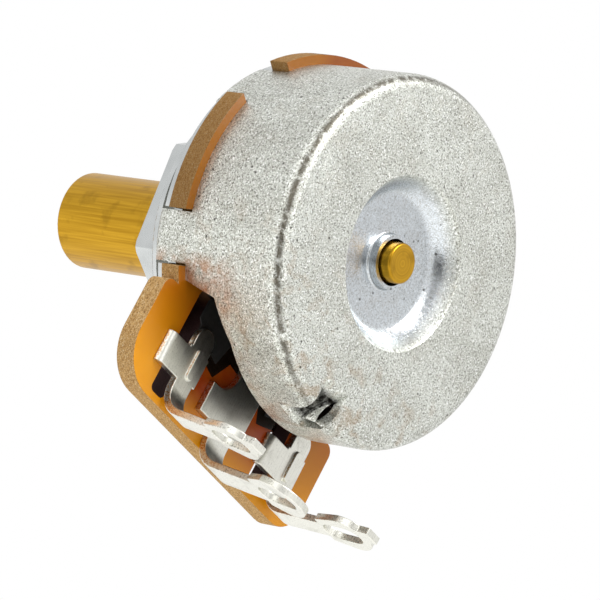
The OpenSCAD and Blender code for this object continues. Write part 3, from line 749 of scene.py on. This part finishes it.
def soft_curl(axis_x, curl_z, lean_deg, hole, half_width, before):
    """A function that moves the curl's points onto the wider arc, and draws in the lug's shoulders.
    The wide arc's centre is step off in y and step (1 - sin lean) / cos lean up, which keeps it tangent."""
    lean = math.radians(lean_deg)
    step = SOFT_CURL_R_MM - CURL_R_MM
    old = np.array([BOARD_Y_MM + CURL_R_MM, curl_z])
    new = old + [step, step * (1 - math.sin(lean)) / math.cos(lean)]
    along = np.array([math.cos(lean), -math.sin(lean)])
    narrow = SHOULDER_HALF_MM * half_width / OUTER_HALF_MM

    def reshape(points):
        moved = points / MM
        yz = moved[:, 1:]
        arm = yz - old
        reach = np.hypot(arm[:, 0], arm[:, 1])
        on_arc = np.abs(reach - CURL_R_MM) < ON_ARC_MM
        on_arc |= np.abs(reach - CURL_R_MM + TERMINAL_T_MM) < ON_ARC_MM
        on_arc &= (arm[:, 0] < ON_ARC_MM) & (arm[:, 1] < ON_ARC_MM)
        wide = new + arm * ((reach + step) / np.maximum(reach, NOT_ZERO_MM))[:, None]
        past_hole = (yz - hole) @ along
        aside = moved[:, 0] - axis_x
        shoulder = (np.abs(past_hole + before) < AT_SHOULDER_MM) & (yz[:, 0] > BOARD_Y_MM + CLEAR_OF_BOARD_MM)
        wing = shoulder & (np.abs(aside) > SHOULDER_HALF_MM)
        moved[:, 1:] = np.where(on_arc[:, None], wide, yz)
        moved[:, 1:] += np.where(shoulder, SHOULDER_S_MM + before, 0.0)[:, None] * along
        moved[:, 0] = np.where(wing, axis_x + np.sign(aside) * narrow, moved[:, 0])
        print("curl points:", int(on_arc.sum()), "shoulder points:", int(shoulder.sum()))
        return moved * MM

    return reshape


for node_name, measures in TERMINALS.items():
    edges_broken(node_name, TERMINAL_EDGE_MM, soft_curl(*measures))

# %% [markdown]
# ## The dish of the cover
# Sheet that is drawn over a punch never turns a corner at once: the dish flows out of the rear face over
# a wide soft round. The cover's copy therefore gets its dish moved point by point: outwards, and onto a
# smoother curve.

# %% Cover with a soft dish
COVER_EDGE_MM = 0.07
REAR_Y_MM = 12.4
SHEET_MM = 0.6
DISH_DEPTH_MM = 1.5
DISH_FLOOR_R_MM = 4.0
DISH_RIM_R_MM = 5.1
SOFT_RIM_R_MM = 5.6
SOFT_POWER = 1.4
IN_DISH_MM = 0.01


def soft_dish(points):
    """Radii from the floor to the rim are stretched to the soft rim, and the depth follows
    (1 - t * t) to the power 1.4, a slope that eases into both faces; t is 0 at the floor and 1 at the rim."""
    moved = points / MM
    radius = np.hypot(moved[:, 0], moved[:, 2])
    in_dish = (radius > DISH_FLOOR_R_MM - IN_DISH_MM) & (radius < DISH_RIM_R_MM + IN_DISH_MM)
    in_dish &= moved[:, 1] > REAR_Y_MM - DISH_DEPTH_MM - SHEET_MM - IN_DISH_MM
    t = np.clip((radius - DISH_FLOOR_R_MM) / (DISH_RIM_R_MM - DISH_FLOOR_R_MM), 0, 1)
    old_depth = DISH_DEPTH_MM * (1 + np.cos(np.pi * t)) / 2
    new_depth = DISH_DEPTH_MM * (1 - t * t) ** SOFT_POWER
    new_radius = DISH_FLOOR_R_MM + t * (SOFT_RIM_R_MM - DISH_FLOOR_R_MM)
    stretch = np.where(in_dish, new_radius / np.maximum(radius, NOT_ZERO_MM), 1.0)
    moved[:, 0] *= stretch
    moved[:, 2] *= stretch
    moved[:, 1] += np.where(in_dish, old_depth - new_depth, 0.0)
    print("points moved in the dish:", int(in_dish.sum()))
    return moved * MM


edges_broken("cover", COVER_EDGE_MM, soft_dish)

# %% [markdown]
# ## The stop dent
# The punch that makes the stop tears the sheet along one side of the dent, and the torn edges curl up as
# two lips with a lens-shaped slit between them. Both edges of the lens are parabolas through the same two
# ends. One lip is ruled from the lens down to the dent's 45 degree slope, and the other from the lens up to
# the cover's outside.

# %% The lens and the surfaces beside it
LENS_TOP_MM = np.array([-0.79, 11.81, -9.89])
LENS_FOOT_MM = np.array([-0.75, 11.14, -11.52])
LENS_LEFT_MM = np.array([-0.55, 11.43, -10.75])
LENS_RIGHT_MM = np.array([-0.85, 11.68, -10.67])
LIP_FOOT_MM = 0.28
LIP_SIDE_X_MM = -0.98
LIP_START_Z_MM = -9.32
LIP_RUN_MM = 2.45
LIP_SUNK_MM = 0.06


def lens_edge(s, middle):
    """Straight line between the lens's ends plus 4 s (1 - s) times the middle's step off that line."""
    s = s[..., None]
    straight = LENS_TOP_MM + (LENS_FOOT_MM - LENS_TOP_MM) * s
    return straight + 4 * s * (1 - s) * (middle - (LENS_TOP_MM + LENS_FOOT_MM) / 2)


def left_edge(s):
    """The lens's left edge at s, where the lip that falls away from it starts."""
    return lens_edge(s, LENS_LEFT_MM)


def right_edge(s):
    """The lens's right edge at s, where the lip that rises from it starts."""
    return lens_edge(s, LENS_RIGHT_MM)


def on_slope(s):
    """The lip's foot: a little aside from the left edge in x, and y = z + 21.7 puts it on the dent's slope."""
    x, _, z = np.moveaxis(left_edge(s), -1, 0)
    return np.stack([x + LIP_FOOT_MM, z + SLOPE_Y_LESS_Z_MM, z], axis=-1)


def on_cover(s):
    """A line down the cover's rear at one x; past the corner's centre, y follows the corner's circle."""
    z = LIP_START_Z_MM - LIP_RUN_MM * s
    radius = np.hypot(LIP_SIDE_X_MM, z)
    past = np.clip(radius - CORNER_CENTRE_R_MM, 0, 1)
    y = CORNER_CENTRE_Y_MM + np.sqrt(1 - past**2) - LIP_SUNK_MM
    return np.stack([np.full_like(z, LIP_SIDE_X_MM), y, z], axis=-1)


print("length of the lens in millimetres:", round(float(np.linalg.norm(LENS_FOOT_MM - LENS_TOP_MM)), 2))

# %% [markdown]
# A lip is a grid of points between two of those lines, given the sheet's thickness by the Solidify
# modifier. A slight wave along it keeps the torn sheet from looking flat.

# %% Torn lips of the stop dent
LIP_SHEET_MM = 0.1
LIP_WAVE_MM = 0.03
LIP_WAVE_TURN = 9
LIP_GRID = (13, 41)


def surface(name, points, body, slot):
    """A mesh from a grid of points, rows by columns, with one face between each four neighbours."""
    rows, columns = points.shape[:2]
    index = np.arange(rows * columns).reshape(rows, columns)
    faces = np.stack([index[:-1, :-1], index[:-1, 1:], index[1:, 1:], index[1:, :-1]], axis=-1).reshape(-1, 4)
    mesh = bpy.data.meshes.new(name)
    mesh.from_pydata((points.reshape(-1, 3) * MM).tolist(), [], faces.tolist())
    mesh.validate()
    mesh.shade_smooth()
    mesh.materials.append(FINISHES[slot])
    piece = bpy.data.objects.new(name, mesh)
    scene.collection.objects.link(piece)
    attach(piece, body)
    print(name, len(faces), "faces")
    return piece


def dent_lip(name, from_edge, to_edge):
    """Ruled between two edges: u runs across from one to the other, s along them. The wave is
    sin(pi u) sin(9 s), which is 0 at both edges."""
    u, s = np.meshgrid(np.linspace(0, 1, LIP_GRID[0]), np.linspace(0, 1, LIP_GRID[1]))
    grid = from_edge(s) + (to_edge(s) - from_edge(s)) * u[..., None]
    grid[..., 0] += LIP_WAVE_MM * np.sin(np.pi * u) * np.sin(LIP_WAVE_TURN * s)
    lip = surface(name, grid, "housing", "cover_tin")
    wall = lip.modifiers.new("sheet", "SOLIDIFY")
    wall.thickness = LIP_SHEET_MM * MM
    wall.offset = 0


dent_lip("stop_dent_left_lip", on_slope, left_edge)
dent_lip("stop_dent_right_lip", right_edge, on_cover)

# %% [markdown]
# ## The bushing's thread
# A real thread is a helix whose flanks rise to narrow flat crests. On a cylinder that is a radius that
# depends on one number, the distance along the axis in pitches minus the share of a turn, so one grid
# gives the whole thread.

# %% Profile of the bushing
THREAD_R_MM = 9.525 / 2
THREAD_PITCH_MM = 25.4 / 32
THREAD_DEPTH_MM = 0.45
THREAD_END_Y_MM = -5.6
THREAD_START_Y_MM = -0.01
CREST_CLEAR_MM = 0.005
FLANK_SLOPE = 1.25
FADE_END_MM = 0.5
FADE_START_MM = 0.3
NOSE_CHAMFER_MM = 0.4
BORE_R_MM = 3.045
REAR_END_Y_MM = 3.85
CREST_R_MM = THREAD_R_MM - CREST_CLEAR_MM
REAR_PROFILE_MM = [
    # radius and y of each ring, from the bore at the rear end to the shoulder's front
    (BORE_R_MM, REAR_END_Y_MM),
    (4.6, REAR_END_Y_MM),
    (4.6, 3.35),
    (4.0, 3.35),
    (4.0, 2.4),
    (7.8, 2.4),
    (7.9, 2.3),
    (7.9, 0.1),
    (7.8, 0.0),
    (CREST_R_MM, 0.0),
]
TURN_POINTS = 161
THREAD_RINGS = 240


def thread_radius(angle, y):
    """Crest radius less a triangle wave of y / pitch - angle / (2 pi), cut flat at the crests and faded at
    both ends, and less a chamfer over the nose's last 0.4 mm."""
    phase = np.mod(y / THREAD_PITCH_MM - angle / (2 * np.pi), 1.0)
    groove = np.clip(FLANK_SLOPE * np.abs(2 * phase - 1), 0, 1)
    fade = np.clip((y - THREAD_END_Y_MM) / FADE_END_MM, 0, 1) * np.clip(-y / FADE_START_MM, 0, 1)
    chamfer = 1 - np.clip((y - THREAD_END_Y_MM) / NOSE_CHAMFER_MM, 0, 1)
    return CREST_R_MM - THREAD_DEPTH_MM * (1 - groove) * fade - NOSE_CHAMFER_MM * chamfer


def threaded_bushing():
    """Bore, staked rear end, shoulder and thread as one closed grid: a profile of rings round the axis."""
    turns = np.linspace(0, 2 * np.pi, TURN_POINTS)
    rear_r, rear_y = np.array(REAR_PROFILE_MM).T
    thread_y = np.linspace(THREAD_START_Y_MM, THREAD_END_Y_MM, THREAD_RINGS)
    angle, y = np.meshgrid(turns, np.concatenate([rear_y, thread_y, [THREAD_END_Y_MM, REAR_END_Y_MM]]))
    radius = np.concatenate([
        np.repeat(rear_r[:, None], TURN_POINTS, axis=1),
        thread_radius(*np.meshgrid(turns, thread_y)),
        np.full((2, TURN_POINTS), BORE_R_MM),
    ])
    return np.stack([radius * np.cos(angle), y, radius * np.sin(angle)], axis=-1)


print("turns of thread:", round(-THREAD_END_Y_MM / THREAD_PITCH_MM, 1))

# %% [markdown]
# The grid's first and last columns meet, and so do its first and last rows, so they are welded. Edges
# that turn by more than 40 degrees stay sharp, which are the shoulder's corners and the thread's crests
# and roots, and the flanks between them are smooth.

# %% Threaded bushing
THREAD_WELD_M = 1e-7
BUSHING_SHARP_DEG = 40
bushing = surface("bushing_threaded", threaded_bushing(), "housing", "nickel")
skin = bmesh.new()
skin.from_mesh(bushing.data)
bmesh.ops.remove_doubles(skin, verts=skin.verts, dist=THREAD_WELD_M)
bmesh.ops.recalc_face_normals(skin, faces=skin.faces)
skin.to_mesh(bushing.data)
skin.free()
bushing.data.set_sharp_from_angle(angle=math.radians(BUSHING_SHARP_DEG))
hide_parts("bushing")
print(bushing.name, "points:", len(bushing.data.vertices))
